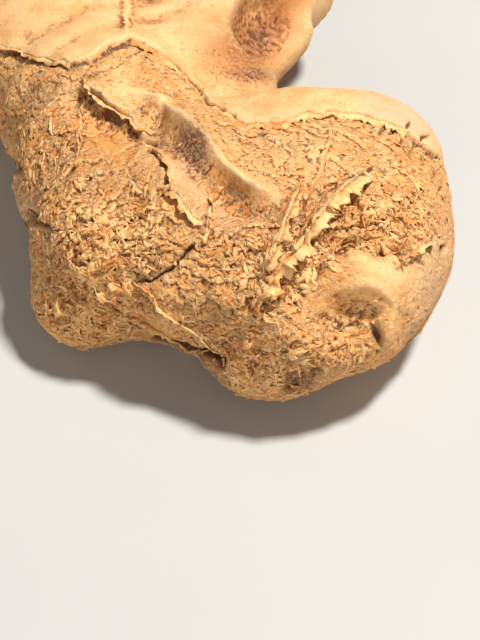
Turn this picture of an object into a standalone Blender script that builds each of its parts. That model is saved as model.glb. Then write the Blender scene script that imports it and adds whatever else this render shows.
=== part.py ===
"""A dried ginger rhizome: one grown piece, lying on its flatter side.

Units are metres, +Z is up and the root rests on z = 0, with the origin under the middle of it. The root
grew along +X: the youngest and fattest lobe is at the +X end and the old broken end is at -X. A knob buds
low on the -Y side and a long finger leaves on the +Y side.
"""

import math

import bmesh
import bpy
from mathutils import Euler, Matrix, Vector

MM = 0.001

# Driving dimensions, in millimetres. All centres are measured from the middle of the fat near lobe.
BLEND_VOXEL = 0.9  # grid on which the swollen lobes are grown together
BLEND_SMOOTHING = 16  # passes that round the valleys between lobes
SKIN_VOXEL = 0.75  # finer grid for the scars and hollows
SKIN_SMOOTHING = 4  # passes that soften their edges
WRINKLE_SIZE = 7.0  # width of the lumps left by drying
WRINKLE_DEPTH = 1.1  # height of those lumps
REST_HEIGHT = -11.6  # height of the surface the root lies on, which presses flat feet on it
TRIANGLE_TARGET = 8600  # triangles in the finished solid
SLIVER = 0.02  # edges shorter than this are dissolved after the feet are cut

# Each swelling: name, centre, half-sizes along its own axes, and its turn about Z in degrees.
LOBES = (
    ("near_lobe", (0, 2.5, 0), (17, 19.5, 13), 50),
    ("near_back", (-1.5, 12, 1), (10, 9.5, 10.5), 50),
    ("near_chin", (7.3, -8.2, -4), (8, 6.5, 7.5), 50),
    ("hand_middle", (-7, -6, 0), (11, 14, 12.5), 50),
    ("hand_left", (-13.5, -11, -1), (11, 13, 11.5), 50),
    ("knob", (-12, -18.2, -5), (6.5, 6.5, 7), 50),
    ("trunk_shoulder", (-23, -8.5, -1), (9.5, 9.5, 10), 50),
    ("trunk_front", (-27, -2, 0), (15, 12.5, 12), 0),
    ("trunk_middle", (-42, 2, 0), (15, 13.5, 12), -8),
    ("trunk_web", (-38, 14, 1), (9, 9, 9), 0),
    ("trunk_back", (-58, 3, 0), (14, 13, 12), 5),
    ("finger_root", (-26.5, 9, 1.5), (10, 10, 9.5), 0),
    ("finger_middle", (-31.5, 19.5, 3), (9, 11, 9), 15),
    ("finger_tip", (-37, 29.5, 2), (9, 8.5, 8.5), 0),
    ("far_lobe", (-72, 4, -1), (13, 13, 12.5), 15),
    ("far_end", (-82, 7, -1), (9, 10, 10.5), 0),
    ("far_bud", (-64, -11, -4), (9, 10, 8.5), -20),
)

# Each leaf scar is a raised line where a plane crosses the root: the middle of the ring, the way the plane
# faces in degrees about Z, and how far from the middle the ring reaches.
LEAF_SCARS = (
    ("collar_scar", (-15.5, 2.5, 0), -52, 25),
    ("trunk_scar", (-33, 0, 0), -8, 17),
    ("second_trunk_scar", (-48, 2, 0), 0, 18),
    ("far_scar", (-63, 3, 0), 8, 15),
    ("finger_scar", (-34, 24, 2.5), 104, 13),
    ("far_bud_scar", (-63, -14.5, -4), 70, 11),
)
SCAR_HEIGHT = 0.7  # height of the raised line
SCAR_WIDTH = 1.0  # its half-width
SCAR_GROOVE = 0.5  # depth of the groove on its younger side
SCAR_FADE = 3.0  # length over which a line fades out at the end of its reach

# Ellipsoids taken away: the shrunken flank of the finger, the sunk bud scar and two drying hollows.
HOLLOWS = (
    ("finger_hollow", (-23.5, 21.0, 7.5), (5.5, 9.0, 6.0), 12),
    ("bud_scar", (17.5, -5.5, 4.5), (4.6, 4.2, 4.2), 50),
    ("trunk_hollow", (-47, -13.5, 6), (6.0, 4.0, 4.5), 0),
    ("far_hollow", (-71, 14.0, 8), (6.5, 4.5, 4.5), 20),
)

# The old end broke off square: where the break is, and which way it faces.
BREAK_CENTRE = (-86.0, 7.0, 0.0)
BREAK_DIRECTION = (-1.0, 0.12, 0.18)

# Dried skin.
SKIN_COLOUR = (0.61, 0.36, 0.165, 1.0)
SKIN_ROUGHNESS = 0.85


def clear_scene():
    for obj in list(bpy.data.objects):
        bpy.data.objects.remove(obj, do_unlink=True)


def add_swelling(bm, centre, half_sizes, turn):
    """Adds one ellipsoid to the mesh being built."""
    place = Matrix.Translation(Vector(centre) * MM)
    rotation = Euler((0, 0, math.radians(turn))).to_matrix().to_4x4()
    size = Matrix.Diagonal((*(Vector(half_sizes) * MM), 1))
    bmesh.ops.create_uvsphere(bm, u_segments=40, v_segments=24, radius=1, matrix=place @ rotation @ size)


def swellings_mesh(name, shapes):
    """Makes a mesh of overlapping ellipsoids."""
    bm = bmesh.new()
    for _name, centre, half_sizes, turn in shapes:
        add_swelling(bm, centre, half_sizes, turn)
    mesh = bpy.data.meshes.new(name)
    bm.to_mesh(mesh)
    bm.free()
    return mesh


def add_remesh(obj, voxel):
    remesh = obj.modifiers.new("grow together", "REMESH")
    remesh.mode = "VOXEL"
    remesh.voxel_size = voxel * MM


def add_smooth(obj, passes):
    smooth = obj.modifiers.new("soften", "SMOOTH")
    smooth.factor = 0.5
    smooth.iterations = passes


def add_wrinkles(obj):
    clouds = bpy.data.textures.new("wrinkles", "CLOUDS")
    clouds.noise_scale = WRINKLE_SIZE * MM
    clouds.noise_depth = 3
    wrinkles = obj.modifiers.new("wrinkles", "DISPLACE")
    wrinkles.texture = clouds
    wrinkles.texture_coords = "LOCAL"
    wrinkles.strength = WRINKLE_DEPTH * MM
    wrinkles.mid_level = 0.5


def add_cut(obj, cutter):
    cut = obj.modifiers.new(cutter.name, "BOOLEAN")
    cut.operation = "DIFFERENCE"
    cut.solver = "EXACT"
    cut.object = cutter


def evaluated_mesh(obj):
    """Returns the mesh of an object with its modifiers carried out."""
    bpy.context.view_layer.update()
    depsgraph = bpy.context.evaluated_depsgraph_get()
    return bpy.data.meshes.new_from_object(obj.evaluated_get(depsgraph))


def working_object(name, mesh):
    obj = bpy.data.objects.new(name, mesh)
    bpy.context.scene.collection.objects.link(obj)
    return obj


def grown_body():
    """Grows the lobes together into one rounded body."""
    body = working_object("body", swellings_mesh("body", LOBES))
    add_remesh(body, BLEND_VOXEL)
    add_smooth(body, BLEND_SMOOTHING)
    return evaluated_mesh(body)


def hollowed_body(grown):
    """Takes the hollows away."""
    body = working_object("hollowed", grown)
    for shape in HOLLOWS:
        add_cut(body, working_object(shape[0], swellings_mesh(shape[0], (shape,))))
    add_remesh(body, SKIN_VOXEL)
    add_smooth(body, SKIN_SMOOTHING)
    return evaluated_mesh(body)


def scar_relief(point):
    """Height of the leaf scars at a point on the skin, in millimetres."""
    height = 0.0
    for _name, centre, facing, reach in LEAF_SCARS:
        offset = point / MM - Vector(centre)
        across = offset.x * math.cos(math.radians(facing)) + offset.y * math.sin(math.radians(facing))
        nearness = min(1.0, max(0.0, (reach - offset.length) / SCAR_FADE))
        ridge = SCAR_HEIGHT * math.exp(-((across / SCAR_WIDTH) ** 2))
        groove = SCAR_GROOVE * math.exp(-(((across - 2 * SCAR_WIDTH) / SCAR_WIDTH) ** 2))
        height += nearness * (ridge - groove)
    return height


def scarred_body(hollowed):
    """Raises the leaf scars and wrinkles the skin."""
    bm = bmesh.new()
    bm.from_mesh(hollowed)
    bm.normal_update()
    lifts = [vert.normal * scar_relief(vert.co) * MM for vert in bm.verts]
    for vert, lift in zip(bm.verts, lifts):
        vert.co += lift
    bm.to_mesh(hollowed)
    bm.free()
    body = working_object("scarred", hollowed)
    add_wrinkles(body)
    return evaluated_mesh(body)


def thinned(mesh):
    """Keeps about the wanted number of triangles, most of them where the skin bends."""
    body = working_object("thinned", mesh)
    mesh.calc_loop_triangles()
    thin = body.modifiers.new("thin", "DECIMATE")
    thin.ratio = TRIANGLE_TARGET / len(mesh.loop_triangles)
    return evaluated_mesh(body)


def cut_flat(bm, point, outward):
    """Cuts the body square at a plane and closes it with a flat face."""
    everything = bm.verts[:] + bm.edges[:] + bm.faces[:]
    cut = bmesh.ops.bisect_plane(
        bm, geom=everything, plane_co=point, plane_no=outward, dist=1e-7, clear_outer=True
    )
    rim = [item for item in cut["geom_cut"] if isinstance(item, bmesh.types.BMEdge)]
    bmesh.ops.triangle_fill(bm, edges=rim, use_beauty=True, normal=outward)


def finished_mesh(mesh):
    """Breaks the old end, presses the feet flat and puts the origin under the middle."""
    bm = bmesh.new()
    bm.from_mesh(mesh)
    cut_flat(bm, Vector(BREAK_CENTRE) * MM, Vector(BREAK_DIRECTION).normalized())
    cut_flat(bm, Vector((0, 0, REST_HEIGHT)) * MM, Vector((0, 0, -1)))
    bmesh.ops.dissolve_degenerate(bm, dist=SLIVER * MM, edges=bm.edges[:])
    bmesh.ops.triangulate(bm, faces=bm.faces[:])
    bmesh.ops.recalc_face_normals(bm, faces=bm.faces[:])
    middle = Vector((0, 0, REST_HEIGHT * MM))
    for axis in (0, 1):
        places = [vert.co[axis] for vert in bm.verts]
        middle[axis] = (min(places) + max(places)) / 2
    bmesh.ops.translate(bm, verts=bm.verts[:], vec=-middle)
    finished = bpy.data.meshes.new("rhizome")
    bm.to_mesh(finished)
    bm.free()
    return finished


def skin_material():
    material = bpy.data.materials.new("dried_ginger_skin")
    material.use_nodes = True
    skin = material.node_tree.nodes["Principled BSDF"]
    skin.inputs["Base Color"].default_value = SKIN_COLOUR
    skin.inputs["Roughness"].default_value = SKIN_ROUGHNESS
    skin.inputs["Metallic"].default_value = 0.0
    material.diffuse_color = SKIN_COLOUR
    return material


def build():
    clear_scene()
    mesh = finished_mesh(thinned(scarred_body(hollowed_body(grown_body()))))
    clear_scene()
    mesh.materials.append(skin_material())
    parts = bpy.data.collections.new("ginger_root")
    bpy.context.scene.collection.children.link(parts)
    parts.objects.link(bpy.data.objects.new("rhizome", mesh))


build()
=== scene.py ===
"""The looks of a dried ginger root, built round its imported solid.

The skin is the solid's own surface, refined and carved. Loose fibres, thin torn lips and the papery edges
of the old scale leaves are laid on it. Lengths are in millimetres unless a name says otherwise, and MM
turns them into the scene's metres.
"""
import math

import bmesh
import bpy
import numpy as np
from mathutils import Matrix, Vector, noise
from mathutils.bvhtree import BVHTree


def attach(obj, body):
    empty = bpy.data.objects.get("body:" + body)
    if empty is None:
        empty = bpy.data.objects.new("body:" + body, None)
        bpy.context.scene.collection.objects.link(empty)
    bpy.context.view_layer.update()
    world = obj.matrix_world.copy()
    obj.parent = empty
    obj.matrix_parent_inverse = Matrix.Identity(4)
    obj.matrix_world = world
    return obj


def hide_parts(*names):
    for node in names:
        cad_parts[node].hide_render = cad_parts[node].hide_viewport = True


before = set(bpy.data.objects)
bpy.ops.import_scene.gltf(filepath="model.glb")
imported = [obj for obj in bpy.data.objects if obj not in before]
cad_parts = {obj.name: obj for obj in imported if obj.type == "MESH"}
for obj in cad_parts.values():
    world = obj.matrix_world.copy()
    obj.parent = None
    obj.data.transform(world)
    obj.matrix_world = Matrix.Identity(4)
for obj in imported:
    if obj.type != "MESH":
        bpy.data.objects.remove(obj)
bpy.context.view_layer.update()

MM = 0.001

# The front view, which looks down on the fat lobe. The angles are in degrees.
VIEW_AZIMUTH = 50.0
VIEW_ELEVATION = 45.0
VIEW_DISTANCE = 190.0
VIEW_TARGET = (38.0, -15.5, 7.8)
LENS = 100.0

# The skin's mesh.
GRID = 0.88  # edge length before the skin is refined
GRID_SMOOTHING = 8  # passes that round off the solid's facets
FINE_LEVELS = ((-0.15, 36.0), (0.04, 28.5))  # each split: how squarely skin faces the view, and its top
FINE_HALF_WIDTH = 26.5  # the splits reach this far to each side of the plan
FINE_LOWEST = 1.0  # and down to this height above the floor
CAVITY_PASSES = 14  # how far the shading of hollows and crests spreads

# The torn outlines stray by this much, over waves of this size.
WANDER = 0.38
WANDER_SIZE = 2.4
WANDER_OCTAVES = 3
WANDER_SEEDS = (11.0, 47.0)

# The torn texture: the size of its features, and how high they stand on the roughest skin.
BROAD_SHEETS = 2.3  # distance between the edges of the broad sheets
NARROW_SHEETS = 1.0
SHEET_HEIGHT = 1.1
CRUMBS = 0.85
CRUMB_HEIGHT = 0.42
CRUMB_FACING = -110
WRINKLES = 1.8
WRINKLE_HEIGHT = 0.35
FIBRES = 0.5
FIBRE_HEIGHT = 0.12
LUMPS = 4.5
LUMP_HEIGHT = 0.25
GRIT = 0.4
WARP = 0.4  # the texture is pushed about by this much, over waves of this size
WARP_SIZE = 1.1
WARP_SEEDS = (51.0, 62.0, 73.0)
RING_HEIGHT = 0.12
WORN_PATCHES = 9.0

# Loose pieces.
CLEAR_OF_FLOOR = 2.0  # none of them grow lower than this
FINE_FIBRES = {"count": 1800, "length": 1.0, "thickness": 0.02, "lift": 0.14, "seed": 23}
LOOSE_FIBRES = {"count": 700, "length": 1.7, "thickness": 0.028, "lift": 0.4, "seed": 29}
STRAY_FIBRES = {"count": 900, "length": 1.2, "thickness": 0.024, "lift": 0.2, "seed": 41}
TORN_LIPS = {"count": 3200, "length": 0.44, "reach": 0.17, "seed": 17}
SCAR_LIPS = {"count": 900, "length": 0.9, "reach": 0.3, "seed": 19}
FIBRE_POINTS = 5
LIP_THICKNESS = 0.04
FRILL_THICKNESS = 0.07
FRILL_STATION = 0.32  # distance between the cross-rows of a frill
FRILL_ROWS = 3
FRILL_BACK = 0.2  # how far above the tear a frill is rooted
FRILL_SEED = 5

# Outlines on the carved skin, as millimetres right and up of the middle of the front view.
COLLAR_LINE = (
    (-27, 29.6), (-24, 28.6), (-21.6, 27.7), (-18, 27.4), (-15.8, 27.8), (-13.7, 29.2), (-11.5, 29.8),
    (-9.6, 28.9), (-7.3, 27.3), (-5.3, 24.9), (-3.7, 23.1), (-1.9, 22.0), (0.5, 20.6), (2.9, 20.6),
    (5.0, 21.2), (7.2, 21.9), (9.6, 22.0), (12.3, 21.7), (15.5, 21.2), (17.8, 19.9), (19.5, 18.7), (22, 16),
)
PLATE_EDGE = ((-16.7, 25.8), (-16.0, 24.4), (-14.6, 23.2), (-13.0, 22.1), (-11.2, 20.7), (-9.6, 19.5))
PLATE_TOP = ((-16.7, 25.6), (-15.8, 26.5), (-14.2, 27.0), (-13.5, 28.2))
ROUND_RIDGE = (
    (-12.0, 24.6), (-10.2, 23.6), (-8.2, 22.1), (-5.9, 20.5), (-3.7, 18.2), (-1.9, 16.0), (0.5, 14.4),
    (3.2, 13.4), (5.6, 12.5),
)
RIGHT_CREASE = ((9.7, 21.2), (9.5, 19.0), (8.8, 17.1), (8.0, 15.0), (7.1, 13.3))
DARK_CRACK = ((10.6, 14.4), (12.3, 15.1), (14.2, 16.4))
STRIP_EDGE = (
    (-10.5, 18.9), (-9.1, 18.0), (-7.8, 16.4), (-7.3, 15.0), (-7.7, 13.9), (-6.4, 12.6), (-5.3, 11.2),
    (-4.3, 10.2),
)
STRIP_RIGHT = ((-1.9, 14.4), (-2.5, 13.0), (-3.2, 12.0), (-3.5, 10.2), (-3.7, 8.0))
MIDDLE_CRACK = ((-4.9, 8.6), (-6.5, 6.4), (-7.5, 5.5), (-8.5, 4.9), (-9.6, 4.2), (-11.3, 4.1))
MIDDLE_PLATE_EDGE = (
    (-11.3, 4.1), (-9.8, 2.7), (-8.8, 1.3), (-7.3, 0.2), (-5.3, -1.1), (-3.7, -2.7), (-2.4, -3.8),
)
LOWER_FLAP_EDGE = (
    (-13.4, 0.6), (-11.2, 0.2), (-9.4, -0.9), (-7.7, -1.7), (-6.8, -2.6), (-5.3, -3.2), (-3.2, -3.4),
)
LEFT_ARC = ((-16.4, 23.5), (-18.2, 23.4), (-19.8, 23.2), (-20.9, 22.2), (-21.7, 21.2), (-22.4, 19.0))
LEFT_FOLD = ((-16.7, 24.2), (-17.0, 21.9), (-17.2, 19.8), (-17.4, 18.2), (-17.6, 16.6))
LEFT_FOLD_SHORT = ((-16.0, 20.0), (-16.9, 18.4), (-17.3, 16.9))
TEAR_BAND = (
    (1.4, 1.0), (3.2, 3.4), (4.8, 5.9), (6.4, 7.8), (8.1, 10.2), (9.6, 12.1), (11.2, 13.7), (13.4, 15.8),
)
TEAR_BAND_INNER = ((2.2, 4.6), (3.7, 6.9), (4.8, 9.4), (5.6, 11.5), (6.6, 14.3))
TEAR_MIDDLE = ((6.1, 4.8), (7.7, 7.5), (8.8, 10.2), (9.6, 12.8))
TEAR_OUTER = ((11.4, 7.5), (13.3, 9.6), (12.8, 12.8))
BUD_RIM = (
    (15.2, -4.0), (16.1, -1.1), (16.1, 1.6), (15.2, 3.7), (13.4, 4.4), (11.5, 4.0), (9.8, 2.6), (8.5, 1.3),
    (7.8, -0.6),
)
UNDER_SLOT = ((-9.6, -1.7), (-7.6, -2.4), (-5.6, -3.2), (-3.4, -3.8), (-1.2, -4.9))
TANGLE_EDGE = ((14.6, 8.4), (15.5, 7.6), (17.1, 6.2), (18.4, 6.7), (20.3, 8.5))
LEFT_GROOVE = ((-23.2, 11.8), (-21.4, 10.5), (-19.4, 9.2))
TRUNK_SEAM = ((-12.3, 36.0), (-12.1, 32.1), (-12.3, 30.7), (-11.6, 29.5))
BUD_SCAR = (12.2, 0.4)

# Folds of the torn band: the outline, the rise and the width of the plateau behind it.
TEAR_FOLDS = (
    (TEAR_BAND, 1.0, 1.0), (TEAR_BAND_INNER, 0.8, 1.0), (TEAR_MIDDLE, 0.7, 0.9), (TEAR_OUTER, 0.8, 1.3),
)

# Torn edges: the outline, how far its ends fade, and then a height and a width for the cliff, for the
# undercut at the cliff's foot and for the raised line along it.
ABSENT = (0.0, 1.0)
TORN_EDGES = {
    "collar": (COLLAR_LINE, 3.0, (0.55, 3.0), (0.35, 0.45), ABSENT),
    "plate": (PLATE_EDGE, 1.6, (0.75, 2.4), (0.4, 0.5), ABSENT),
    "plate_top": (PLATE_TOP, 1.6, ABSENT, (0.2, 0.3), (0.35, 0.25)),
    "strip": (STRIP_EDGE, 1.6, (0.5, 1.6), (0.45, 0.4), ABSENT),
    "strip_right": (STRIP_RIGHT, 1.6, ABSENT, ABSENT, (0.3, 0.22)),
    "middle_plate": (MIDDLE_PLATE_EDGE, 1.6, (0.6, 2.4), (0.4, 0.5), ABSENT),
    "lower_flap": (LOWER_FLAP_EDGE, 1.6, (0.5, 1.6), (0.9, 0.6), ABSENT),
    "tear_band": (TEAR_BAND, 1.6, ABSENT, (0.5, 0.7), (0.45, 0.45)),
    "tear_band_inner": (TEAR_BAND_INNER, 1.6, ABSENT, (0.45, 0.5), (0.4, 0.4)),
    "right_crease": (RIGHT_CREASE, 1.6, ABSENT, ABSENT, (0.28, 0.16)),
    "left_arc": (LEFT_ARC, 1.6, (0.15, 1.5), ABSENT, (0.3, 0.25)),
    "left_fold": (LEFT_FOLD, 1.6, ABSENT, ABSENT, (0.35, 0.2)),
    "left_fold_short": (LEFT_FOLD_SHORT, 1.6, ABSENT, ABSENT, (0.25, 0.15)),
    "tangle": (TANGLE_EDGE, 1.6, ABSENT, ABSENT, (0.3, 0.25)),
    "trunk_seam": (TRUNK_SEAM, 1.0, ABSENT, ABSENT, (0.3, 0.22)),
}

# Cracks: the outline, how far its ends fade, and the depth and width of each groove along it.
CRACKS = {
    "middle_crack": (MIDDLE_CRACK, 0.8, ((0.75, 0.16), (0.25, 0.6))),
    "dark_crack": (DARK_CRACK, 0.8, ((0.6, 0.16),)),
    "under_slot": (UNDER_SLOT, 1.0, ((1.5, 0.5),)),
    "left_groove": (LEFT_GROOVE, 0.8, ((0.5, 0.3),)),
}

# Soft ovals of the front plan, in rows: a strength, the middle across and up, the half width, the half height
# and, where it is turned, the turn in degrees. The strength of a swell, dip, hole or pit is in millimetres.
SWELLS = (
    (0.8, 14.8, 4.0, 5.5, 3.0, -10), (0.5, 0.0, 2.2, 5.5, 2.6, -25),
)
DIPS = (
    (1.2, 11.3, 7.8, 0.8, 1.4, -40), (0.6, 8.6, 5.2, 0.6, 1.6, -40), (0.7, 16.4, 7.4, 2.2, 0.6),
    (0.6, -14.8, 18.5, 2.0, 3.0, -20), (0.5, 6.4, -6.0, 2.2, 1.4), (0.5, -13.8, 13.0, 3.0, 4.0, 20),
    (0.6, -11.8, 4.8, 3.0, 0.8, 15), (0.6, -3.0, -1.6, 3.0, 1.0, -35), (0.6, 3.2, -3.6, 1.6, 0.9),
)
HOLES = (
    (0.9, 14.6, -1.6, 0.55, 0.95, 15), (0.9, -9.8, 19.6, 0.4, 0.35), (0.9, -16.5, 15.4, 0.35, 0.28),
    (0.9, 20.5, 8.5, 0.2, 0.5, -20), (0.9, 21.8, 7.7, 0.2, 0.5, -20), (0.9, 8.0, -5.3, 0.45, 0.35),
    (0.9, 5.2, -7.6, 0.5, 0.3), (0.9, -24.0, 16.6, 0.5, 0.8, 20), (0.9, -25.3, 21.4, 0.5, 1.5, 10),
    (0.9, -22.4, 11.2, 0.6, 0.8),
)
PIT_DEPTH = 0.45
PIT_SHAPE = (0.5, 0.28, 60)
COLLAR_PITS = (
    (14.1, 20.4), (15.1, 20.2), (16.2, 20.0), (17.3, 19.4), (18.6, 18.4), (19.8, 17.0), (20.9, 15.6),
    (21.6, 14.0), (17.9, 20.6), (19.4, 19.4),
)
# Painted shade inside the holes and along the deepest dips and valleys.
HOLE_SHADE_OVALS = (
    (1.0, 14.6, -1.6, 0.6, 0.9, 15), (1.0, -9.8, 19.6, 0.4, 0.4), (1.0, -16.5, 15.4, 0.35, 0.3),
    (1.0, 8.0, -5.3, 0.7, 0.5), (1.0, 5.2, -7.4, 0.8, 0.5), (0.8, -24.0, 16.6, 0.5, 0.7),
    (1.0, 20.5, 8.5, 0.15, 0.5, -20), (1.0, 21.8, 7.7, 0.15, 0.5, -20), (0.75, 11.3, 7.8, 0.6, 1.2, -40),
    (0.6, 8.6, 5.2, 0.4, 1.3, -40), (0.6, 16.4, 7.3, 2.0, 0.35), (0.6, -11.8, 4.6, 2.6, 0.4, 15),
)
HAIRY = (
    (1.0, -15.0, 2.5, 4.2, 3.2), (0.8, -18.0, -0.2, 2.6, 1.6, -38), (0.75, -13.5, 8.5, 5.5, 4.0),
    (1.0, 16.0, 10.8, 4.5, 2.6, 15), (0.9, 6.4, 6.5, 2.2, 6.5, -35), (0.35, 11.5, -1.5, 2.6, 2.6),
    (0.5, 0.0, -3.5, 6.0, 2.0, -30), (0.3, 1.5, 6.5, 4.0, 4.5, -30), (0.14, -20.0, 19.0, 4.0, 6.0),
    (0.4, 7.0, -4.0, 5.0, 1.8), (0.3, 20.0, 17.5, 4.0, 2.0, -40),
)
# Stains of the skin's own colour, with a few ovals of painted shade, marked below.
STAINS_AND_SHADE = {
    "dark": (
        (1.5, -5.2, 18.2, 1.9, 1.2, -45), (0.9, 6.6, -6.4, 2.0, 1.2), (0.9, -9.2, 19.3, 0.8, 0.6),
        # Painted shade: the first oval of this row lies along the underside below the lower flap, and the
        # other two and the next row's oval lie in the finger's shaded hollow.
        (0.8, -4.5, -5.0, 5.0, 0.9, -32), (0.6, 2.4, 30.1, 1.1, 1.9, -25), (0.6, 1.1, 26.2, 2.6, 0.6),
        (0.42, 0.4, 29.0, 4.4, 3.4, -20),
    ),
    "grey": (
        (0.5, -20.0, 24.5, 4.5, 2.2, -10), (0.8, 7.0, 9.8, 1.6, 2.0, 20), (0.8, -5.3, 14.9, 4.8, 1.7, -50),
        (1.1, 17.0, 21.6, 4.5, 1.5, -25), (0.6, -23.0, 11.0, 1.4, 3.0), (0.7, 20.5, 5.0, 2.2, 8.0, -10),
        (0.5, 1.0, 10.5, 4.0, 1.6, -15),
    ),
    "warm": (
        # Painted shade: the first oval of this row darkens the valley below the round ridge.
        (0.5, 0.5, 12.8, 4.5, 1.0, -28), (0.5, -14.8, 2.2, 4.5, 3.0), (0.5, -20.0, 18.5, 4.0, 6.0),
        # Painted shade: the second and third ovals of this row darken the finger's hollow.
        (0.4, 8.5, 4.0, 1.6, 4.0, -30), (1.1, 0.4, 29.0, 4.4, 3.6, -20), (1.0, 5.0, 33.5, 3.5, 1.6, 50),
        (0.25, -18.0, 32.5, 6.0, 3.0), (0.3, -6.0, 0.5, 5.0, 0.8, -36), (0.4, -13.9, 11.0, 4.0, 4.0),
        (0.6, 1.0, 8.5, 7.0, 5.0, -15), (0.55, -16.0, 16.0, 6.0, 5.0),
    ),
}

# Parts of the skin that are smooth or pale: where each lies, how smooth it is and how pale it is.
SKIN_PARTS = {
    "plate": ((-12.2, 24.0, 3.6, 2.2, -38), 0.6, 0.7),
    "flank beside the plate": ((-13.8, 19.0, 3.2, 1.8, -38), 0.6, 0.0),
    "face below the collar": ((7.0, 17.6, 5.0, 2.8, -15), 0.0, 0.4),
    "tongue": ((-5.3, 14.9, 4.8, 1.7, -50), 0.75, 0.45),
    "lower flap": ((-9.6, -0.2, 2.6, 0.8, -30), 0.7, 0.3),
    "edge of the knob": ((-20.0, -2.4, 4.0, 1.1, -38), 0.85, 0.0),
    # The bump's paleness is partly painted highlight on its lit top.
    "bump above the bud scar": ((16.2, 5.0, 4.2, 1.8, -25), 1.0, 1.0),
    "right rim": ((21.0, 13.0, 1.6, 7.0, 10), 0.35, 0.0),
    "lower right rim": ((19.0, 0.0, 2.0, 6.0, -30), 0.35, 0.0),
}

# The grain of the skin: the ovals where each grain holds, how much it holds elsewhere, the angle that its
# fibres lie along and the angle that its torn edges face.
GRAINS = (
    (((1.0, 0.5, 6.0, 8.0, 5.0, -10),), 0.05, -8, -100),
    (((1.0, -14.0, 13.0, 7.0, 6.0), (1.0, 7.5, 8.0, 3.5, 7.0, -35)), 0.03, 48, -60),
    (((1.0, 7.0, 18.0, 8.0, 3.5, -15), (1.0, -16.0, 1.0, 5.0, 4.0)), 0.03, -38, -130),
)

# Papery frills: the outline, and the width, the droop and the rise of the frill.
FRILLS = (
    (COLLAR_LINE[6:20], 1.0, 0.8, 0.42),
    (COLLAR_LINE[0:4], 0.5, 0.8, 0.2),
    (PLATE_EDGE, 0.35, 0.7, 0.25),
    (STRIP_EDGE, 0.5, 0.9, 0.3),
    (STRIP_RIGHT, 0.4, 0.8, 0.45),
    (LOWER_FLAP_EDGE, 0.35, 0.8, 0.25),
    (MIDDLE_PLATE_EDGE, 0.3, 0.6, 0.2),
    (TEAR_BAND, 1.2, 0.7, 0.8),
    (TEAR_BAND_INNER, 0.6, 0.7, 0.45),
    (TEAR_MIDDLE, 0.6, 0.7, 0.45),
    (TEAR_OUTER, 0.9, 0.7, 0.7),
    (LEFT_FOLD, 0.3, 0.5, 0.35),
    (RIGHT_CREASE, 0.2, 0.5, 0.15),
    (TANGLE_EDGE, 0.9, 0.7, 0.6),
)

# Values kept on the skin's vertices for its paint.
PAINTED = ("cavity", "crest", "smooth", "hairy", "pale", "dark", "grey", "warm", "hole")



def clamp(values):
    return np.clip(values, 0.0, 1.0)


def smooth_step(values):
    values = clamp(values)
    return values * values * (3 - 2 * values)


def unit(vector):
    return np.array(vector) / np.linalg.norm(vector)


def view_axes(azimuth, elevation):
    """The right, up and backward directions of a view."""
    turn, rise = math.radians(azimuth), math.radians(elevation)
    right = np.array((math.cos(turn), math.sin(turn), 0.0))
    back = np.array((math.sin(turn) * math.cos(rise), -math.cos(turn) * math.cos(rise), math.sin(rise)))
    return right, np.cross(back, right), back


RIGHT, UP, BACK = view_axes(VIEW_AZIMUTH, VIEW_ELEVATION)
VIEW_PLACE = np.array(VIEW_TARGET) * MM + BACK * VIEW_DISTANCE * MM


def front_plan(places):
    """Where places appear in the front view, in millimetres right and up of its middle."""
    offset = places - VIEW_PLACE
    scale = VIEW_DISTANCE / -(offset @ BACK)
    return np.stack([(offset @ RIGHT) * scale, (offset @ UP) * scale], axis=1)


def plan_ray(across, up):
    """The direction from the view's place through a point of the front plan."""
    return Vector(unit(-BACK * VIEW_DISTANCE + RIGHT * across + UP * up))


# ---------------------------------------------------------------- meshes


def new_object(name, mesh):
    made = bpy.data.objects.new(name, mesh)
    bpy.context.scene.collection.objects.link(made)
    return made


def evaluated_copy(obj):
    bpy.context.view_layer.update()
    depsgraph = bpy.context.evaluated_depsgraph_get()
    return bpy.data.meshes.new_from_object(obj.evaluated_get(depsgraph))


def vertex_array(mesh, field="co"):
    values = np.empty(len(mesh.vertices) * 3)
    mesh.vertices.foreach_get(field, values)
    return values.reshape(-1, 3)


def edge_array(mesh):
    ends = np.empty(len(mesh.edges) * 2, dtype=np.int64)
    mesh.edges.foreach_get("vertices", ends)
    return ends.reshape(-1, 2)


def spread(values, ends, passes):
    """Averages a value with its neighbours', some number of times."""
    count = len(values)
    degree = np.maximum(np.bincount(ends.ravel(), minlength=count), 1)
    for _ in range(passes):
        gathered = np.bincount(ends[:, 0], values[ends[:, 1]], count)
        gathered += np.bincount(ends[:, 1], values[ends[:, 0]], count)
        values = (values + gathered / degree) / 2
    return values


def spread_rows(rows, ends, passes):
    return np.stack([spread(rows[:, axis], ends, passes) for axis in range(rows.shape[1])], axis=1)


def even_skin():
    """The solid's surface on an even grid, with its facets rounded off."""
    bm = bmesh.new()
    bm.from_mesh(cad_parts["rhizome"].data)
    bmesh.ops.remove_doubles(bm, verts=bm.verts[:], dist=1e-6)
    mesh = bpy.data.meshes.new("even_skin")
    bm.to_mesh(mesh)
    bm.free()
    draft = new_object("even_skin", mesh)
    remesh = draft.modifiers.new("even grid", "REMESH")
    remesh.mode = "VOXEL"
    remesh.voxel_size = GRID * MM
    smooth = draft.modifiers.new("round off", "SMOOTH")
    smooth.factor = 0.5
    smooth.iterations = GRID_SMOOTHING
    even = evaluated_copy(draft)
    bpy.data.objects.remove(draft, do_unlink=True)
    return even


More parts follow.
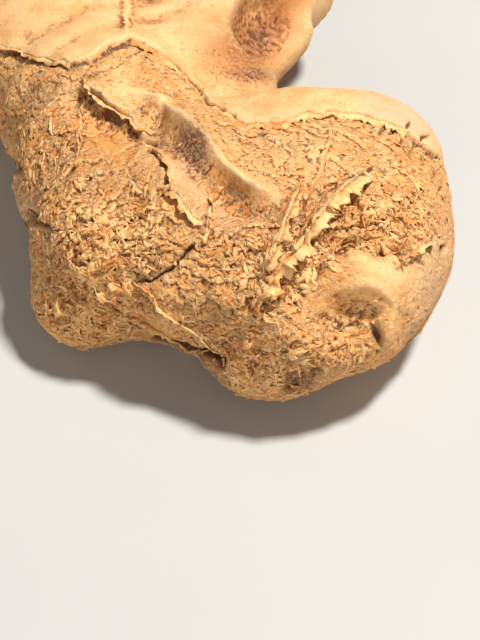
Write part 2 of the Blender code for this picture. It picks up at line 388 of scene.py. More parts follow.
def in_front_view(bm, least_facing, top):
    """Marks the vertices that the front view sees below a height of its plan."""
    places = np.array([vert.co[:] for vert in bm.verts])
    normals = np.array([vert.normal[:] for vert in bm.verts])
    plan = front_plan(places)
    facing = (normals * (VIEW_PLACE - places)).sum(axis=1) / (VIEW_DISTANCE * MM) > least_facing
    inside = (np.abs(plan[:, 0]) < FINE_HALF_WIDTH) & (plan[:, 1] < top)
    return facing & inside & (places[:, 2] > FINE_LOWEST * MM)


def refined_skin():
    """Splits the skin finely where the front view sees it."""
    mesh = even_skin()
    bm = bmesh.new()
    bm.from_mesh(mesh)
    for least_facing, top in FINE_LEVELS:
        bm.normal_update()
        seen = in_front_view(bm, least_facing, top)
        bm.edges.ensure_lookup_table()
        inner = [edge for edge in bm.edges if seen[edge.verts[0].index] and seen[edge.verts[1].index]]
        bmesh.ops.subdivide_edges(bm, edges=inner, cuts=1, use_grid_fill=True)
        bm.verts.index_update()
        bm.normal_update()
        for _ in range(2):
            bmesh.ops.smooth_vert(
                bm, verts=bm.verts[:], factor=0.5, use_axis_x=True, use_axis_y=True, use_axis_z=True
            )
    bmesh.ops.triangulate(bm, faces=bm.faces[:])
    bm.to_mesh(mesh)
    bm.free()
    mesh.name = "ginger_skin"
    return mesh


# ---------------------------------------------------------------- relief


def fractal(places, size, octaves, seed=0.0):
    """Cloudy noise, about -1 to 1, with features of a size in millimetres."""
    scaled = (places / (size * MM) + seed).tolist()
    return np.array([noise.fractal(place, 1.0, 2.0, octaves) for place in scaled])


def streaks(places, size, angle, stretch, octaves, seed=0.0):
    """Noise drawn out along a direction in the front view, at an angle from its right."""
    along = RIGHT * math.cos(math.radians(angle)) + UP * math.sin(math.radians(angle))
    squeezed = places - np.outer(places @ along, along) * (1 - 1 / stretch)
    return fractal(squeezed, size, octaves, seed)


def folds(values):
    """Turns cloudy noise into sharp creases with rounded crests between them, 0 to 1."""
    return 1 - np.minimum(np.abs(values) * 2.2, 1.0)


class Outline:
    """An outline seen from every point of the plan: how far it is, on which side, and where it ends."""

    def __init__(self, plan, corners, start_fade, end_fade):
        self.distance = np.full(len(plan), 1e9)
        self.side = np.ones(len(plan))
        along = np.zeros(len(plan))
        travelled = 0.0
        for corner, following in zip(corners, corners[1:]):
            start = np.array(corner, dtype=float)
            step = np.array(following, dtype=float) - start
            length = np.linalg.norm(step)
            share = clamp((plan - start) @ step / length**2)
            gap = plan - start - share[:, None] * step
            distance = np.hypot(gap[:, 0], gap[:, 1])
            nearer = distance < self.distance
            side = np.where(step[0] * gap[:, 1] - step[1] * gap[:, 0] > 0, 1.0, -1.0)
            self.distance = np.where(nearer, distance, self.distance)
            self.side = np.where(nearer, side, self.side)
            along = np.where(nearer, travelled + share * length, along)
            travelled += length
        self.fade = smooth_step(along / start_fade) * smooth_step((travelled - along) / end_fade)

    def ridge(self, width):
        """A rounded crest along the outline, 1 high."""
        return self.fade * np.exp(-((self.distance / width) ** 2))

    def step(self, reach, sharpness=0.07):
        """A cliff 1 high whose upper side is left of the outline and slopes away over the reach."""
        signed = self.distance * self.side
        cliff = 1 / (1 + np.exp(-np.clip(signed / sharpness, -30, 30)))
        return self.fade * cliff * np.exp(-self.distance / reach)

    def scarp(self, plateau, drop, valley):
        """A rounded fall from a high plateau on the outline's left to a valley on its right, 1 high."""
        signed = self.distance * self.side
        high = clamp((signed + drop) / drop) ** 1.6 * np.exp(-((np.maximum(signed, 0) / plateau) ** 2))
        low = np.exp(-(((signed + drop + 0.6 * valley) / valley) ** 2))
        return self.fade * (high - 0.8 * low)

    def foot(self, width):
        """The undercut at the foot of a cliff, 1 deep, on the outline's right."""
        signed = self.distance * self.side
        low = 1 / (1 + np.exp(np.clip(signed / 0.05, -30, 30)))
        return self.fade * low * np.exp(-self.distance / width)


def patch(plan, across, up, half_width, half_height, turn=0.0):
    """A soft oval patch of the plan, 1 in its middle."""
    angle = math.radians(turn)
    offset = plan - np.array((across, up))
    along = offset[:, 0] * math.cos(angle) + offset[:, 1] * math.sin(angle)
    beside = offset[:, 1] * math.cos(angle) - offset[:, 0] * math.sin(angle)
    return np.exp(-((along / half_width) ** 2) - (beside / half_height) ** 2)


class Relief:
    """The carved skin: heights, stains and painted shade for every vertex."""

    def __init__(self, mesh):
        self.mesh = mesh
        self.places = vertex_array(mesh)
        self.normals = vertex_array(mesh, "normal")
        self.ends = edge_array(mesh)
        true_plan = front_plan(self.places)
        strays = [fractal(self.places, WANDER_SIZE, WANDER_OCTAVES, seed) for seed in WANDER_SEEDS]
        self.plan = true_plan + WANDER * np.stack(strays, axis=1)
        self.calm_plan = 0.75 * true_plan + 0.25 * self.plan
        self.seen = smooth_step((self.normals @ BACK + 0.15) / 0.3)
        self.height = np.zeros(len(self.places))
        self.stains_and_shade = {}

    def outline(self, corners, end_fade=1.6):
        """A ragged outline."""
        return Outline(self.plan, corners, end_fade, end_fade)

    def calm_outline(self, corners, start_fade=2.5, end_fade=2.5):
        """An outline that strays only a little."""
        return Outline(self.calm_plan, corners, start_fade, end_fade)

    def ovals(self, rows):
        """The sum of soft ovals."""
        return sum(strength * patch(self.plan, *oval) for strength, *oval in rows)


def carve_form(relief):
    """The broad folds, swells and dips of the near hand."""
    ridge = relief.calm_outline(ROUND_RIDGE, 4.0, 6.0)
    height = 1.4 * ridge.scarp(3.4, 1.5, 1.6) + 0.3 * ridge.ridge(0.45)
    height += 0.9 * relief.calm_outline(PLATE_EDGE, 1.5, 1.5).scarp(3.5, 0.8, 1.3)
    height += 0.6 * relief.calm_outline(BUD_RIM).scarp(2.5, 1.8, 2.6)
    for corners, rise, plateau in TEAR_FOLDS:
        height += rise * relief.calm_outline(corners).scarp(plateau, 0.7, 0.8)
    height += relief.ovals(SWELLS) - relief.ovals(DIPS)
    relief.height += relief.seen * height


def carve_edges(relief):
    """The torn edges, cracks and holes of the near hand. Gives back the outlines by name."""
    outlines = {}
    height = np.zeros(len(relief.plan))
    for name, (corners, end_fade, cliff, undercut, line) in TORN_EDGES.items():
        edge = relief.outline(corners, end_fade)
        outlines[name] = edge
        height += cliff[0] * edge.step(cliff[1]) - undercut[0] * edge.foot(undercut[1])
        height += line[0] * edge.ridge(line[1])
    for name, (corners, end_fade, grooves) in CRACKS.items():
        crack = relief.outline(corners, end_fade)
        outlines[name] = crack
        for depth, width in grooves:
            height -= depth * crack.ridge(width)
    pits = [(PIT_DEPTH, *spot, *PIT_SHAPE) for spot in COLLAR_PITS]
    height -= relief.ovals(HOLES) + relief.ovals(pits)
    relief.height += relief.seen * height
    return outlines


def shade_holes(relief, outlines):
    """Painted shade inside the holes and cracks and under the torn edges."""
    dark = relief.ovals(HOLE_SHADE_OVALS)
    dark += 0.9 * outlines["middle_crack"].ridge(0.3) + outlines["dark_crack"].ridge(0.2)
    dark += 2.2 * outlines["under_slot"].ridge(0.5) + 0.7 * outlines["lower_flap"].foot(0.5)
    dark += 0.5 * outlines["strip"].foot(0.3) + 0.45 * outlines["plate"].foot(0.35)
    dark += 0.4 * outlines["collar"].foot(0.25)
    relief.stains_and_shade["hole"] = clamp(relief.seen * dark)


def map_smooth_skin(relief, collar_edge):
    """Where the skin is smooth, where it is pale (partly painted highlight on the round ridge's crest and the
    bump above the bud scar), and where its unseen sides are worn.
    """
    seen, stains_and_shade = relief.seen, relief.stains_and_shade
    above = collar_edge.side * np.minimum(collar_edge.distance, 3.0)
    collar = seen * smooth_step((above + 0.1) / 0.4)
    ridge = relief.outline(ROUND_RIDGE).ridge(0.55)
    bud_rim = relief.calm_outline(BUD_RIM).ridge(1.3)
    smooth = 0.9 * ridge + 0.6 * bud_rim
    # The round ridge's crest is paler partly as painted highlight.
    pale = 0.9 * collar + 0.8 * ridge + 0.25 * bud_rim
    for oval, smoothness, paleness in SKIN_PARTS.values():
        part = patch(relief.plan, *oval)
        smooth += smoothness * part
        pale += paleness * part
    worn = smooth_step(fractal(relief.places, WORN_PATCHES, 2, 77.0) / 0.4 + 0.3)
    stains_and_shade["smooth"] = clamp(collar + seen * smooth)
    stains_and_shade["pale"] = clamp(seen * pale + 0.6 * (1 - seen) * (1 - worn))
    stains_and_shade["worn"] = (1 - seen) * worn


def map_stains_and_shade(relief):
    """Where the skin is hairy, dark, grey or warm brown; a few dark and warm brown ovals are painted shade.
    """
    relief.stains_and_shade["hairy"] = clamp(relief.seen * relief.ovals(HAIRY) * (1 - relief.stains_and_shade["smooth"]))
    for name, rows in STAINS_AND_SHADE.items():
        relief.stains_and_shade[name] = clamp(relief.seen * relief.ovals(rows))


def sheets(places, spacing, angle, wander, seed):
    """Torn sheets that overlap like shingles: each rises slowly from 0 to 1 and ends in an edge."""
    toward = RIGHT * math.cos(math.radians(angle)) + UP * math.sin(math.radians(angle))
    travel = places @ toward / (spacing * MM) + wander * fractal(places, 2.6 * spacing, 3, seed)
    return travel - np.floor(travel)


def edge_of(phase):
    """1 on the raised edge of a sheet, -1 in the crack beyond it, 0 on its back."""
    return smooth_step((phase - 0.72) / 0.2) - smooth_step((0.26 - phase) / 0.2)


def torn_layers(relief, warped):
    """Overlapping sheets, their crests, wrinkles and fibres, with a grain that turns from part to part."""
    shares = [relief.ovals(rows) + elsewhere for rows, elsewhere, _lying, _facing in GRAINS]
    total = sum(shares)
    layers, crests, wrinkles, fibres = (np.zeros(len(warped)) for _ in range(4))
    for share, (_rows, _elsewhere, lying, facing) in zip(shares, GRAINS):
        share = share / total
        broad = sheets(warped, BROAD_SHEETS, facing, 1.6, 5.0)
        narrow = sheets(warped, NARROW_SHEETS, facing + 15, 1.3, 9.0)
        layers += share * (0.6 * broad + 0.4 * narrow)
        crests += share * (0.6 * edge_of(broad) + 0.5 * edge_of(narrow))
        wrinkles += share * folds(streaks(warped, WRINKLES, lying, 2.5, 2, 2 * lying))
        fibres += share * folds(streaks(warped, FIBRES, lying, 4.0, 2, lying))
    return layers, crests, wrinkles, fibres


def carve_skin_texture(relief):
    """Overlapping sheets, wrinkles, fibres, crumbs and pits all over the skin."""
    places, stains_and_shade = relief.places, relief.stains_and_shade
    hairy, smooth = stains_and_shade["hairy"], stains_and_shade["smooth"]
    rough = (1 - 0.92 * smooth) * (0.26 * relief.seen + 0.74 * hairy + 0.45 * stains_and_shade["worn"] + 0.06)
    warp = np.stack([fractal(places, WARP_SIZE, 2, seed) for seed in WARP_SEEDS], axis=1)
    warped = places + WARP * MM * warp
    layers, crests, wrinkles, fibres = torn_layers(relief, warped)
    crumbs = sheets(warped, CRUMBS, CRUMB_FACING, 1.5, 15.0)
    crests += 0.8 * hairy * edge_of(crumbs)
    crumbs += 0.6 * folds(fractal(warped, 0.9, 2, 21.0))
    lumps = fractal(places, LUMPS, 3, 3.0)
    height = LUMP_HEIGHT * lumps * (0.35 + 0.65 * rough)
    height += rough * SHEET_HEIGHT * (layers - 0.5)
    height += rough * WRINKLE_HEIGHT * (wrinkles - 0.5)
    height += rough * FIBRE_HEIGHT * (fibres - 0.5)
    height += (hairy + 0.8 * stains_and_shade["dark"]) * CRUMB_HEIGHT * (crumbs - 0.8)
    height += (0.02 + 0.07 * rough) * fractal(places, GRIT, 2, 31.0)
    height += RING_HEIGHT * relief.seen * bud_rings(relief.plan, lumps)
    relief.height += height
    # The paint lightens these crests with painted highlight.
    stains_and_shade["crest"] = clamp(0.5 + 0.5 * crests * (0.3 + 0.7 * rough) * (1 - smooth))


def bud_rings(plan, lumps):
    """The faint uneven rings round the bud scar."""
    radius = np.hypot(plan[:, 0] - BUD_SCAR[0], plan[:, 1] - BUD_SCAR[1])
    return np.sin(radius * 5.2 + 2.0 * lumps) * np.exp(-((radius / 4.5) ** 2))


def finish_relief(relief):
    """Moves the skin by its heights and measures where it is hollow or raised."""
    start = relief.places
    moved = start + relief.normals * (relief.height * MM)[:, None]
    moved[:, 2] = np.maximum(moved[:, 2], np.minimum(start[:, 2], 0.02 * MM))
    relief.mesh.vertices.foreach_set("co", moved.ravel())
    relief.mesh.update()
    relief.places = moved
    relief.normals = vertex_array(relief.mesh, "normal")
    tilted = spread_rows(relief.normals, relief.ends, 2)
    relief.downhill = tilted - spread_rows(tilted, relief.ends, CAVITY_PASSES)
    near = spread_rows(moved, relief.ends, 3)
    far = spread_rows(moved, relief.ends, CAVITY_PASSES)
    fine = ((near - moved) * relief.normals).sum(axis=1) / MM
    broad = ((far - moved) * relief.normals).sum(axis=1) / MM
    # The paint darkens the skin by this value as painted shade in its hollows.
    relief.stains_and_shade["cavity"] = clamp(0.5 + 3.0 * fine + 1.0 * broad)
    for name in PAINTED:
        layer = relief.mesh.attributes.new(name, "FLOAT", "POINT")
        layer.data.foreach_set("value", relief.stains_and_shade[name].astype(np.float32))


def make_skin():
    mesh = refined_skin()
    relief = Relief(mesh)
    carve_form(relief)
    outlines = carve_edges(relief)
    shade_holes(relief, outlines)
    map_smooth_skin(relief, outlines["collar"])
    map_stains_and_shade(relief)
    carve_skin_texture(relief)
    finish_relief(relief)
    mesh.shade_smooth()
    mesh.materials.append(skin_paint())
    return new_object("ginger_skin", mesh), relief


# ---------------------------------------------------------------- loose fibres and papery pieces


class Surface:
    """The finished skin, for laying things on it."""

    def __init__(self, relief):
        polygons = [polygon.vertices[:] for polygon in relief.mesh.polygons]
        self.tree = BVHTree.FromPolygons(relief.places.tolist(), polygons)

    def nearest(self, place):
        place, normal, _index, _distance = self.tree.find_nearest(place)
        return place, normal

    def at_plan(self, across, up):
        """The skin's place and normal where the front view sees a point of the plan, or None."""
        place, normal, _index, _distance = self.tree.ray_cast(Vector(VIEW_PLACE), plan_ray(across, up))
        if place is None:
            return None
        return place, normal


def fibre_heading(random, place, spot, normal):
    """The way a fibre lies: along the skin, in the direction that its part of the root is torn."""
    across, up = spot
    angle = 15.0
    if 2 < across < 12 and up < 14:
        angle = 55.0
    elif across < -8 and up < 6:
        angle = -40.0
    elif across > 3 and up > 14:
        angle = -30.0
    swirl = noise.noise(place / (1.6 * MM))
    angle = math.radians(angle + 150 * swirl + random.normal(0, 22))
    heading = Vector(RIGHT * math.cos(angle) + UP * math.sin(angle))
    heading -= normal * heading.dot(normal)
    return heading.normalized()


def grow_fibre(random, surface, spline, start, normal, heading, length, thickness, lift):
    """Lays one curling fibre along the skin."""
    spline.points.add(FIBRE_POINTS - 1)
    bend = random.normal(0, 0.3)
    place = start
    for index in range(FIBRE_POINTS):
        share = index / (FIBRE_POINTS - 1)
        raised = lift * math.sin(math.pi * min(1.0, share * 1.15)) + 0.02
        spot = place + normal * (raised * MM)
        spline.points[index].co = (*spot, 1.0)
        spline.points[index].radius = thickness * (1.0 - 0.65 * share)
        heading = (heading + normal.cross(heading) * bend).normalized()
        bend += random.normal(0, 0.25)
        place, normal = surface.nearest(place + heading * (length * MM / (FIBRE_POINTS - 1)))
        heading = (heading - normal * heading.dot(normal)).normalized()


def make_fibres(name, paint, relief, surface, weights, count, length, thickness, lift, seed):
    """A mat of loose fibres that grow where the weights are high."""
    random = np.random.default_rng(seed)
    curve = bpy.data.curves.new(name, "CURVE")
    curve.dimensions = "3D"
    curve.bevel_depth = MM
    curve.bevel_resolution = 0
    curve.use_fill_caps = False
    chosen = random.choice(len(weights), size=count, p=weights / weights.sum())
    for index, spot in zip(chosen, front_plan(relief.places[chosen])):
        start, normal = Vector(relief.places[index]), Vector(relief.normals[index])
        heading = fibre_heading(random, start, spot, normal)
        own_length = length * random.lognormal(0, 0.35)
        own_thickness = thickness * random.lognormal(0, 0.3)
        own_lift = lift * random.random() ** 1.5
        spline = curve.splines.new("POLY")
        grow_fibre(random, surface, spline, start, normal, heading, own_length, own_thickness, own_lift)
    draft = new_object(name + "_draft", curve)
    mesh = evaluated_copy(draft)
    bpy.data.objects.remove(draft, do_unlink=True)
    mesh.name = name
    mesh.materials.append(paint)
    return new_object(name, mesh)


def along_outline(corners, spacing):
    """Evenly spaced points on an outline, with the direction there."""
    points = []
    for corner, following in zip(corners, corners[1:]):
        start, end = Vector(corner), Vector(following)
        steps = max(1, round((end - start).length / spacing))
        for index in range(steps):
            points.append((start.lerp(end, index / steps), (end - start).normalized()))
    points.append((Vector(corners[-1]), (Vector(corners[-1]) - Vector(corners[-2])).normalized()))
    return points


def frill_root(surface, spot, low):
    """Where a frill is rooted, a little above its strayed outline, and the normal there, or None."""
    hit = surface.at_plan(*spot)
    if hit is None:
        return None
    waves = hit[0] / (WANDER_SIZE * MM)
    stray = [noise.fractal(waves + Vector([seed] * 3), 1.0, 2.0, WANDER_OCTAVES) for seed in WANDER_SEEDS]
    return surface.at_plan(*(spot - WANDER * Vector(stray) - FRILL_BACK * low))


def add_frill(bm, random, surface, corners, width, droop, rise):
    """Adds the torn papery edge of a scale leaf: a ribbon that stands up from the outline and curls over."""
    stations = along_outline(corners, FRILL_STATION)
    grid = bmesh.ops.create_grid(bm, x_segments=len(stations) - 1, y_segments=FRILL_ROWS, size=0.5)["verts"]
    grid.sort(key=lambda vert: (round(vert.co.x, 6), round(vert.co.y, 6)))
    missing = []
    tear = 1.0
    for index, (spot, direction) in enumerate(stations):
        tear = 0.6 * tear + 0.4 * random.uniform(0.1, 1.7)
        flutter = random.normal(0, 0.25)
        row = grid[index * (FRILL_ROWS + 1):(index + 1) * (FRILL_ROWS + 1)]
        low = Vector((direction.y, -direction.x))
        root = frill_root(surface, spot, low)
        if root is None:
            missing += row
            continue
        place, normal = root
        aside = Vector(RIGHT * low.x + UP * low.y)
        for step, vert in enumerate(row):
            share = step / FRILL_ROWS
            reach = width * tear * share * (droop + flutter * share)
            height = rise * math.sin(share * 1.9) * tear + 0.05
            vert.co = place + (aside * reach + normal * height) * MM
    bmesh.ops.delete(bm, geom=missing, context="VERTS")


def paper_object(name, bm, thickness, paint):
    """Finishes thin paper: a smooth mesh with a little thickness."""
    mesh = bpy.data.meshes.new(name)
    bm.to_mesh(mesh)
    bm.free()
    mesh.shade_smooth()
    mesh.materials.append(paint)
    made = new_object(name, mesh)
    solidify = made.modifiers.new("thickness", "SOLIDIFY")
    solidify.thickness = thickness * MM
    solidify.offset = 0.0
    return made


def make_frills(surface, paint):
    """The papery edges along the collar and the torn plates."""
    random = np.random.default_rng(FRILL_SEED)
    bm = bmesh.new()
    for corners, width, droop, rise in FRILLS:
        add_frill(bm, random, surface, corners, width, droop, rise)
    return paper_object("papery_frills", bm, FRILL_THICKNESS, paint)


def add_lip(bm, random, surface, place, normal, over, length, reach):
    """Adds a torn lip that is rooted along a crest and hangs over the crack beside it."""
    half = length * random.lognormal(0, 0.5)
    hang = reach * random.lognormal(0, 0.45)
    lift = random.uniform(0.02, 0.18)
    bend = random.normal(0, 0.2)
    ruffle = random.uniform(0, 6.3)
    grid = bmesh.ops.create_grid(bm, x_segments=5, y_segments=1, size=1.0)["verts"]
    grid.sort(key=lambda vert: (vert.co.x, vert.co.y))
    for root, tip in zip(grid[0::2], grid[1::2]):
        along = root.co.x
        narrow = 1.05 - along * along
        spot = place + (normal.cross(over) * (along * half) + over * (bend * along * along)) * MM
        base, out = surface.nearest(spot)
        root.co = base + (out * 0.02 - over * 0.1) * MM
        rise = lift * (1 + 0.3 * math.sin(ruffle + 5 * along))
        tip.co = base + (out * (0.03 + rise * narrow) + over * (hang * narrow)) * MM


def make_lips(name, paint, relief, surface, weights, count, length, reach, seed):
    """The thin torn lips of the overlapping sheets, each narrow at both ends and hanging over its crack."""
    random = np.random.default_rng(seed)
    bm = bmesh.new()
    for index in random.choice(len(weights), size=count, p=weights / weights.sum()):
        place, normal = Vector(relief.places[index]), Vector(relief.normals[index])
        over = Vector(relief.downhill[index])
        over = (over - normal * over.dot(normal)).normalized()
        add_lip(bm, random, surface, place, normal, over, length, reach)
    return paper_object(name, bm, LIP_THICKNESS, paint)


# ---------------------------------------------------------------- paints


class Value:
    """A shader socket that can be used in sums."""

    def __init__(self, paint, socket):
        self.paint = paint
        self.socket = socket

    def maths(self, operation, first, second):
        return self.paint.node("Math", {"operation": operation}, {0: first, 1: second})

    def __add__(self, other):
        return self.maths("ADD", self, other)

    def __radd__(self, other):
        return self.maths("ADD", other, self)

    def __sub__(self, other):
        return self.maths("SUBTRACT", self, other)

    def __rsub__(self, other):
        return self.maths("SUBTRACT", other, self)

    def __mul__(self, other):
        return self.maths("MULTIPLY", self, other)

    def __rmul__(self, other):
        return self.maths("MULTIPLY", other, self)


class Paint:
    """A material being mixed."""

    def __init__(self, name):
        self.material = bpy.data.materials.new(name)
        self.material.use_nodes = True
        self.tree = self.material.node_tree
        self.tree.nodes.clear()
        self.place = self.node("TexCoord", {}, {}, "Object")

    def node(self, kind, settings, sockets, output=0):
        """Adds a node: first its settings, then the values or links of its sockets."""
        made = self.tree.nodes.new("ShaderNode" + kind)
        for name, setting in settings.items():
            if name == "stops":
                self.set_stops(made.color_ramp, setting)
            else:
                setattr(made, name, setting)
        for key, value in sockets.items():
            if isinstance(value, Value):
                self.tree.links.new(value.socket, made.inputs[key])
            else:
                made.inputs[key].default_value = value
        if output is None:
            return None
        return Value(self, made.outputs[output])

    @staticmethod
    def set_stops(ramp, stops):
        while len(ramp.elements) < len(stops):
            ramp.elements.new(0.5)
        for element, (position, level) in zip(ramp.elements, stops):
            element.position = position
            element.color = (level, level, level, 1.0)

    def layer(self, name):
        """A value stored on the mesh."""
        return self.node("Attribute", {"attribute_name": name}, {}, "Fac")

    def cloud(self, size, detail=3.0, roughness=0.55, shift=0.0):
        """Cloudy noise from 0 to 1 with features of a size in millimetres."""
        place = self.place
        if shift:
            place = self.node("VectorMath", {"operation": "ADD"}, {0: place, 1: (shift, shift, shift)})
        sockets = {"Vector": place, "Scale": 1 / (size * MM), "Detail": detail, "Roughness": roughness}
        return self.node("TexNoise", {}, sockets)

    def shifted(self, size, amount):
        """The place, pushed about by noise with features of a size, both in millimetres."""
        sockets = {"Vector": self.place, "Scale": 1 / (size * MM), "Detail": 1.0}
        push = self.node("TexNoise", {}, sockets, "Color")
        push = self.node("VectorMath", {"operation": "SUBTRACT"}, {0: push, 1: (0.5, 0.5, 0.5)})
        push = self.node("VectorMath", {"operation": "SCALE"}, {0: push, "Scale": 2 * amount * MM})
        return self.node("VectorMath", {"operation": "ADD"}, {0: self.place, 1: push})

    def threads(self, width, stretch, turn):
        """Thin curling threads, 1 on a thread and 0 between, drawn out along a turn in degrees."""
        turns = (0.0, THREAD_TILT, math.radians(turn))
        sizes = (stretch * width * MM, width * MM, width * MM)
        curled = self.shifted(1.5, 0.8)
        drawn = self.node("Mapping", {"vector_type": "TEXTURE"}, {0: curled, 2: turns, 3: sizes})
        level = self.node("TexNoise", {}, {"Vector": drawn, "Scale": 1.0, "Detail": 2.0, "Roughness": 0.6})
        gap = self.node("Math", {"operation": "ABSOLUTE"}, {0: level - 0.5})
        return 1 - self.ramp(gap, 0.008, 0.06)

    def sheets(self, spacing, angle, wander):
        """Small overlapping sheets, rising from 0 to 1 toward their edges, which face an angle."""
        turn = math.radians(angle)
        toward = (RIGHT * math.cos(turn) + UP * math.sin(turn)) / (spacing * MM)
        sockets = {0: self.shifted(0.5, 0.16), 1: tuple(toward)}
        travel = self.node("VectorMath", {"operation": "DOT_PRODUCT"}, sockets, "Value")
        travel = travel + 2 * wander * (self.cloud(2.6 * spacing, 3.0, 0.6) - 0.5)
        return self.node("Math", {"operation": "FRACT"}, {0: travel})

    def ramp(self, value, low, high):
        """0 below low, 1 above high and evenly rising between. Both lie from 0 to 1."""
        return self.node("ValToRGB", {"stops": ((low, 0.0), (high, 1.0))}, {0: value})

    def mix(self, share, first, second):
        """A colour part of the way from the first to the second."""
        return self.node("Mix", {"data_type": "RGBA"}, {0: share, 6: first, 7: second}, 2)

    def bump(self, height, distance, strength=1.0):
        return self.node(
            "Bump", {}, {"Height": height, "Distance": distance * MM, "Strength": strength}, "Normal"
        )

    def finish(self, colour, roughness, normal):
        sockets = {"Base Color": colour, "Roughness": roughness, "Normal": normal}
        shader = self.node("BsdfPrincipled", {}, sockets)
        self.node("OutputMaterial", {}, {"Surface": shader}, None)
        return self.material


THREAD_TILT = 0.5  # radians out of the level plane

# DEEP_BROWN and WARM_BROWN also serve as painted shade, and CREAM as painted highlight, on the skin.
DEEP_BROWN = (0.10, 0.027, 0.005, 1.0)
WARM_BROWN = (0.50, 0.165, 0.026, 1.0)
BODY_BUFF = (0.68, 0.27, 0.058, 1.0)
LIGHT_BUFF = (0.85, 0.43, 0.13, 1.0)
CREAM = (0.84, 0.565, 0.28, 1.0)
GREY_TAN = (0.60, 0.42, 0.27, 1.0)
PURPLE_BROWN = (0.12, 0.042, 0.022, 1.0)
DARK_FIBRE = (0.52, 0.19, 0.04, 1.0)
LIGHT_FIBRE = (0.88, 0.52, 0.19, 1.0)
DARK_PAPER = (0.58, 0.22, 0.045, 1.0)
LIGHT_PAPER = (0.87, 0.545, 0.225, 1.0)
FLOOR_WHITE = (0.50, 0.495, 0.485, 1.0)
FLOOR_LIGHTER = (0.53, 0.525, 0.515, 1.0)


def ground_colours(paint, layers, grain):
    """The skin's own buff, with its pale, grey and warm brown parts, some of which are painted highlight and
    painted shade.
    """
    tone = paint.cloud(3.2, 4.0) + 0.6 * (grain - 0.5)
    colour = paint.mix(paint.ramp(tone, 0.33, 0.68), BODY_BUFF, LIGHT_BUFF)
    colour = paint.mix(layers["pale"] * (0.4 + 0.5 * paint.ramp(tone, 0.35, 0.62)), colour, CREAM)
    colour = paint.mix(0.75 * layers["grey"], colour, GREY_TAN)
    colour = paint.mix(0.85 * layers["warm"], colour, WARM_BROWN)
    return paint.mix(0.4 * layers["hairy"], colour, WARM_BROWN)


def crest_highlight_and_hollow_shade(paint, layers, grain, rough, scales, patches, colour):
    """Painted highlight on the crests and on the edges of the small sheets, partly their own pale colour, and
    painted shade in the hollows and cracks.
    """
    uneven = 0.35 * (grain - 0.5)
    hollow = layers["cavity"] - 0.5
    crest = layers["crest"] - 0.5
    # Painted highlight on the crests, partly the pale colour of their torn edges.
    raised = paint.ramp(1.1 * crest - hollow + uneven, 0.12, 0.42)
    colour = paint.mix(0.8 * raised, colour, CREAM)
    # Painted shade in the hollows.
    hollow_shade = paint.ramp(hollow - uneven * rough - 0.9 * crest, 0.0, 0.24)
    colour = paint.mix(0.9 * hollow_shade, colour, WARM_BROWN)
    # Painted shade in the cracks between the small sheets, then painted highlight on their torn edges, partly
    # their own pale colour.
    crack_shade = 1 - paint.ramp(scales, 0.04, 0.24)
    colour = paint.mix(0.6 * rough * crack_shade * patches, colour, WARM_BROWN)
    torn = paint.ramp(scales, 0.72, 0.95)
    colour = paint.mix(0.6 * rough * torn * patches, colour, CREAM)
    # Deeper painted shade in the deepest hollows.
    deep_shade = paint.ramp(hollow - uneven - 0.6 * crest, 0.06, 0.3)
    return paint.mix(0.9 * deep_shade, colour, DEEP_BROWN)


def small_marks(paint, layers, grain, colour):
    """The dark stains, specks and flecks, and the painted shade in the holes."""
    # The dark layer holds real stains and, in a few ovals, painted shade.
    colour = paint.mix(layers["dark"] * paint.ramp(grain, 0.25, 0.6), colour, PURPLE_BROWN)
    specks = paint.ramp(paint.cloud(0.45, 2.0, 0.5, 0.4), 0.66, 0.72)
    colour = paint.mix(0.8 * specks * (1 - 0.8 * layers["pale"]), colour, WARM_BROWN)
    flecks = paint.ramp(paint.cloud(0.28, 2.0, 0.5, 0.9), 0.67, 0.71)
    colour = paint.mix(0.8 * flecks * (1 - 0.9 * layers["smooth"]), colour, DEEP_BROWN)
    # Painted shade inside the holes, cracks and undercuts.
    return paint.mix(layers["hole"], colour, DEEP_BROWN)


def skin_paint():
    """Dry buff skin: painted highlight on the crests, painted shade in the hollows, with specks, stains and
    fibrous grain.
    """
    paint = Paint("dried_skin")
    layers = {name: paint.layer(name) for name in PAINTED}
    rough = 1 - 0.85 * layers["smooth"]
    grain = paint.cloud(0.35, 4.0, 0.65)
    scales = paint.sheets(0.7, -105.0, 1.5)
    patches = paint.ramp(paint.cloud(1.7, 3.0, 0.5, 0.2), 0.38, 0.6)
    lying, crossing = paint.threads(0.42, 4.0, 20.0), paint.threads(0.5, 3.0, 85.0)
    threads = (lying + crossing * (1 - lying)) * paint.ramp(paint.cloud(1.3, 2.0), 0.4, 0.56)
    colour = ground_colours(paint, layers, grain)
    colour = crest_highlight_and_hollow_shade(paint, layers, grain, rough, scales, patches, colour)
    colour = paint.mix(0.6 * rough * threads, colour, CREAM)
    colour = small_marks(paint, layers, grain, colour)
    height = 0.4 * grain + (0.8 * scales * patches + 0.45 * threads) * rough
    height = height + 0.15 * paint.cloud(0.14, 2.0, 0.6)
    return paint.finish(colour, 0.62 + 0.25 * grain, paint.bump(height, 0.2))


def fibre_paint(name, dark, light):
    """Dry plant fibre, darker in some tufts than in others."""
    paint = Paint(name)
    tufts = paint.cloud(2.5, 4.0, 0.7)
    strands = paint.cloud(0.5, 2.0, 0.6)
    colour = paint.mix(paint.ramp(tufts + 0.6 * (strands - 0.5), 0.35, 0.62), dark, light)
    return paint.finish(colour, 0.65 + 0.2 * strands, paint.bump(strands, 0.03, 0.5))


def floor_paint():
    paint = Paint("floor_paper")
    tone = paint.cloud(60.0, 2.0)
    colour = paint.mix(paint.ramp(tone, 0.3, 0.7), FLOOR_WHITE, FLOOR_LIGHTER)
    return paint.finish(colour, 0.85 + 0.05 * tone, paint.bump(paint.cloud(1.5), 0.05, 0.2))


# ---------------------------------------------------------------- studio

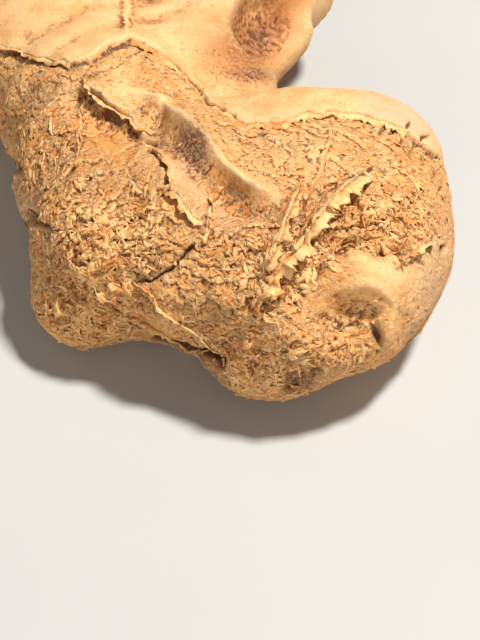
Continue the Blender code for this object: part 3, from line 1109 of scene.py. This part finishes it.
# Square lamps. Each shines on the root from a direction in the front view's axes; distances and sizes are in
# metres, and power is in watts.
KEY_LIGHT = {
    "toward": (0.4, 0.85, 0.78), "distance": 0.9, "size": 0.1, "power": 12.0, "colour": (1.0, 0.97, 0.92),
}
FILL_LIGHT = {
    "toward": (-0.1, -0.45, 1.0), "distance": 1.1, "size": 0.5, "power": 3.9, "colour": (1.0, 0.96, 0.91),
}
SKY_COLOUR = (1.0, 0.97, 0.93, 1.0)
SKY_STRENGTH = 0.16
FLOOR_HALF_SIZE = 2.5  # metres


def make_floor():
    bm = bmesh.new()
    bmesh.ops.create_grid(bm, x_segments=1, y_segments=1, size=FLOOR_HALF_SIZE)
    mesh = bpy.data.meshes.new("floor")
    bm.to_mesh(mesh)
    bm.free()
    mesh.materials.append(floor_paint())
    floor = new_object("floor", mesh)


def make_light(name, toward, distance, size, power, colour):
    """A soft square lamp that faces the root."""
    lamp = bpy.data.lights.new(name, "AREA")
    lamp.size = size
    lamp.energy = power
    lamp.color = colour
    made = new_object(name, lamp)
    across, up, back = toward
    direction = unit(RIGHT * across + UP * up + BACK * back)
    target = Vector(VIEW_TARGET) * MM
    made.location = target + Vector(direction) * distance
    made.rotation_mode = "QUATERNION"
    made.rotation_quaternion = Vector(direction).to_track_quat("Z", "Y")


def make_studio():
    make_floor()
    make_light("key_light", **KEY_LIGHT)
    make_light("fill_light", **FILL_LIGHT)
    world = bpy.data.worlds.new("studio")
    bpy.context.scene.world = world
    world.use_nodes = True
    sky = world.node_tree.nodes["Background"]
    sky.inputs["Color"].default_value = SKY_COLOUR
    sky.inputs["Strength"].default_value = SKY_STRENGTH
    bpy.context.scene.view_settings.view_transform = "Standard"


def make_camera():
    camera = bpy.data.cameras.new("camera")
    camera.lens = LENS
    camera.clip_start = 0.01
    made = new_object("camera", camera)
    made.location = Vector(VIEW_PLACE)
    made.rotation_mode = "QUATERNION"
    made.rotation_quaternion = Vector(BACK).to_track_quat("Z", "Y")
    bpy.context.scene.camera = made


def make_root():
    """The skin and everything that lies on it."""
    skin, relief = make_skin()
    surface = Surface(relief)
    fibre = fibre_paint("pale_fibre", DARK_FIBRE, LIGHT_FIBRE)
    paper = fibre_paint("dry_paper", DARK_PAPER, LIGHT_PAPER)
    stains_and_shade = relief.stains_and_shade
    clear = relief.places[:, 2] > CLEAR_OF_FLOOR * MM
    torn = clear * relief.seen * np.maximum(stains_and_shade["crest"] - 0.56, 0)
    torn = torn * (0.03 + stains_and_shade["hairy"]) * (1 - stains_and_shade["dark"])
    unseen = clear * (1 - relief.seen)
    ringed = unseen * np.maximum(0.36 - stains_and_shade["cavity"], 0)
    pieces = [
        skin,
        make_fibres("fine_fibres", fibre, relief, surface, stains_and_shade["hairy"], **FINE_FIBRES),
        make_fibres("loose_fibres", fibre, relief, surface, stains_and_shade["hairy"] ** 2, **LOOSE_FIBRES),
        make_frills(surface, paper),
        make_lips("torn_lips", paper, relief, surface, torn, **TORN_LIPS),
        make_lips("scar_lips", paper, relief, surface, ringed, **SCAR_LIPS),
        make_fibres("stray_fibres", fibre, relief, surface, unseen, **STRAY_FIBRES),
    ]
    for piece in pieces:
        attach(piece, "root")
    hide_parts("rhizome")


make_camera()
make_root()
make_studio()
